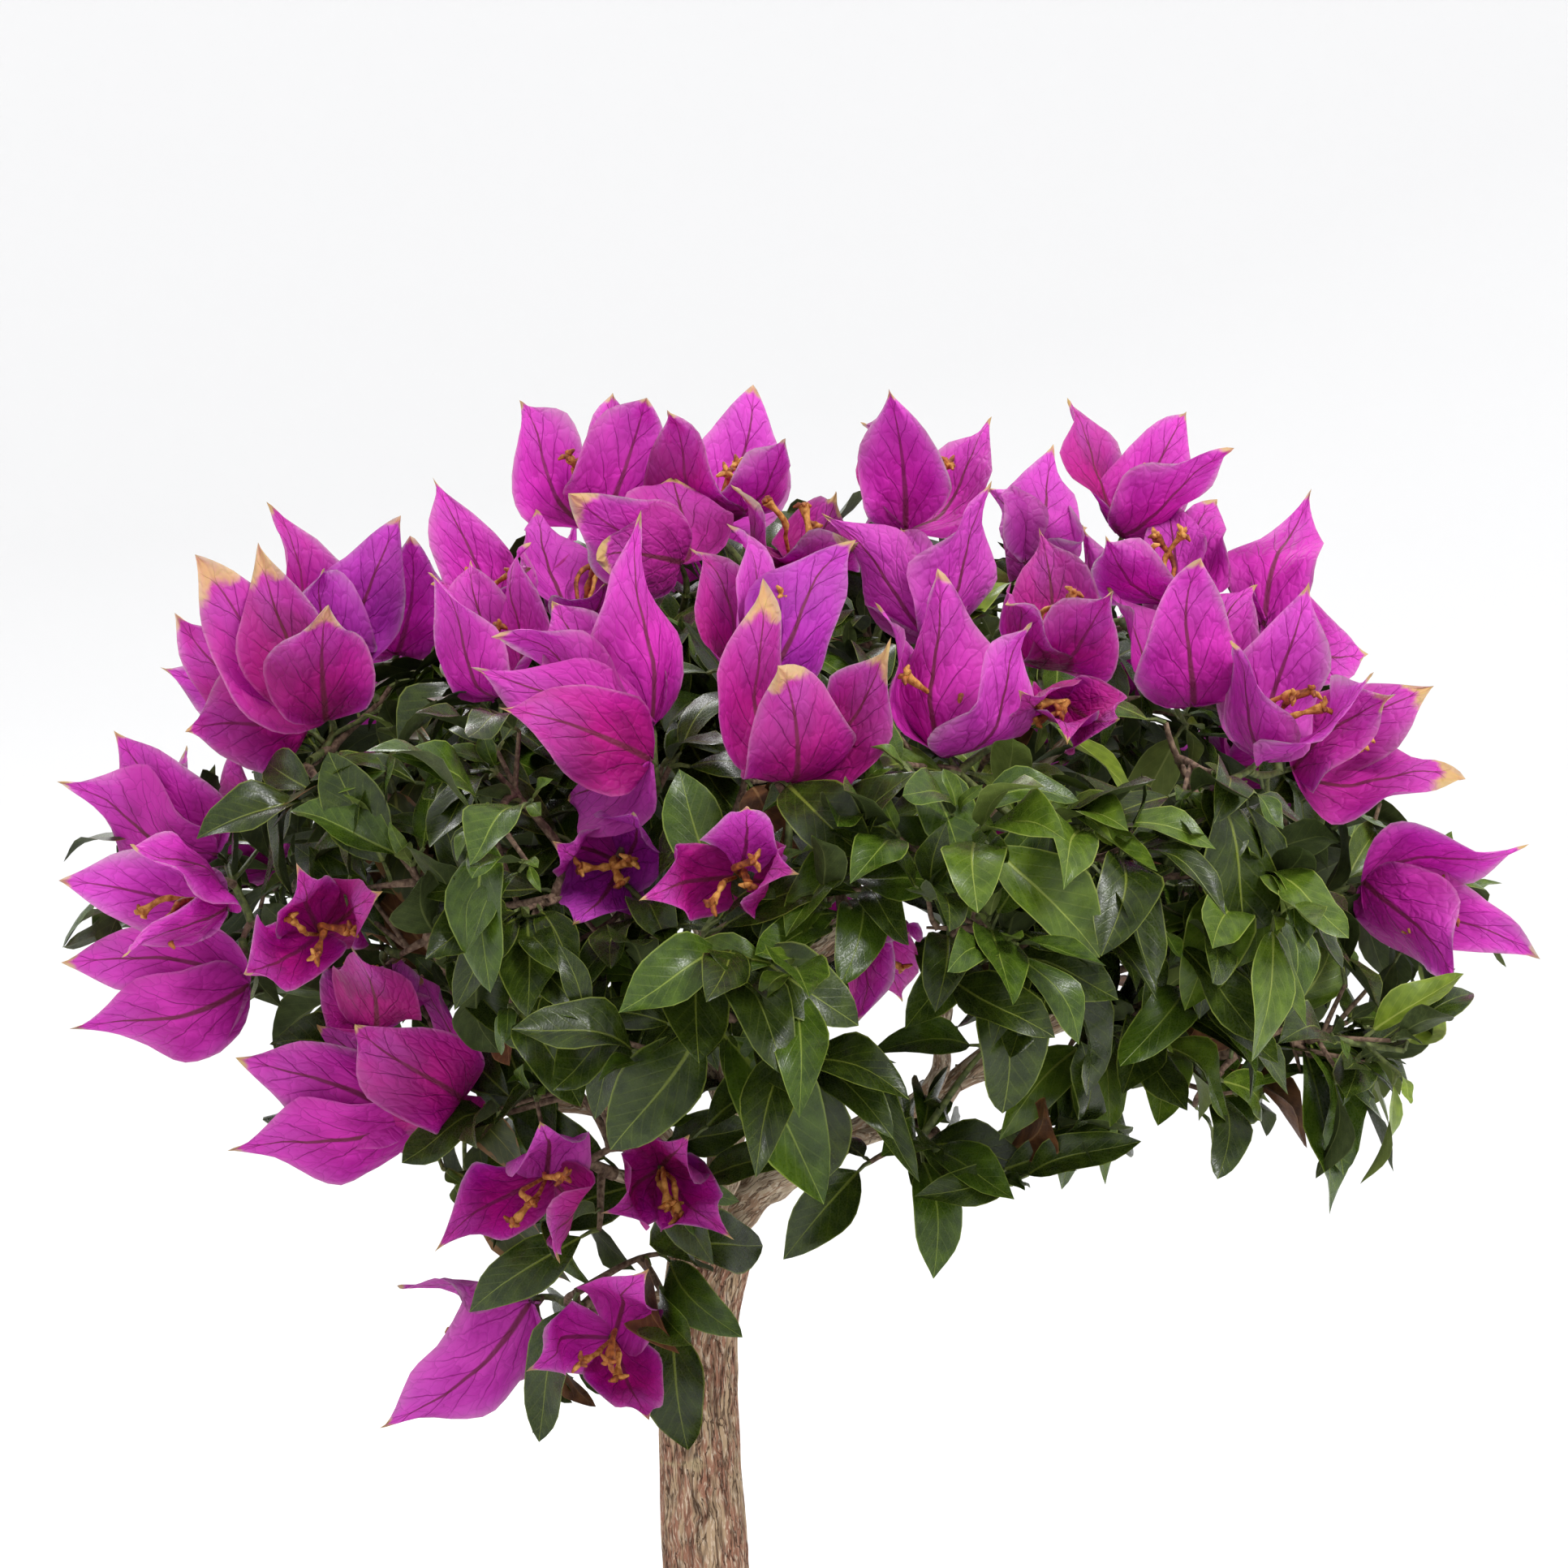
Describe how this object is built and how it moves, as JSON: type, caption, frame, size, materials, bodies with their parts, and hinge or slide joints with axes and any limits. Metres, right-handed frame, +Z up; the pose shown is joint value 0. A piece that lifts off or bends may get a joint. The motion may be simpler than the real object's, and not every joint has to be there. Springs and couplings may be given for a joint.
{
  "type": "bougainvillea bonsai",
  "caption": "Small bonsai tree with a bare flared trunk and a round crown of leaves and papery magenta blooms, standing in a plain rectangular stoneware pot.",
  "frame": {"origin": "middle of the pot's flat underside", "axes": "+Z up along the tree's height, +X to the right and +Y to the back of the front view"},
  "size_m": [0.3458, 0.3154, 0.3862],
  "materials": {
    "stoneware": "matte",
    "soil": "matte",
    "bark": "matte",
    "foliage": "satin"
  },
  "bodies": {
    "root": {"bough_back": "bark", "bough_back_left": "bark", "bough_back_right": "bark", "bough_centre": "bark", "bough_crest_left": "bark", "bough_crest_right": "bark", "bough_far_left": "bark", "bough_far_right": "bark", "bough_front": "bark", "bough_front_left": "bark", "bough_front_right": "bark", "bough_left": "bark", "bough_left_back": "bark", "bough_left_front": "bark", "bough_low": "bark", "bough_low_front": "bark", "bough_low_right": "bark", "bough_lower_left": "bark", "bough_right": "bark", "bough_right_back": "bark", "bough_right_front": "bark", "bough_right_low": "bark", "bough_right_top": "bark", "foliage_back": "foliage", "foliage_back_left": "foliage", "foliage_back_right": "foliage", "foliage_crest": "foliage", "foliage_crest_left": "foliage", "foliage_crest_right": "foliage", "foliage_far_left": "foliage", "foliage_far_right": "foliage", "foliage_front": "foliage", "foliage_front_left": "foliage", "foliage_front_right": "foliage", "foliage_left_back": "foliage", "foliage_left_front": "foliage", "foliage_low_front": "foliage", "foliage_low_left": "foliage", "foliage_low_right": "foliage", "foliage_lower_left": "foliage", "foliage_right": "foliage", "foliage_right_back": "foliage", "foliage_right_front": "foliage", "foliage_right_low": "foliage", "foliage_right_top": "foliage", "foliage_upper_left": "foliage", "pot": "stoneware", "soil": "soil", "trunk": "bark"}
  },
  "joints": []
}
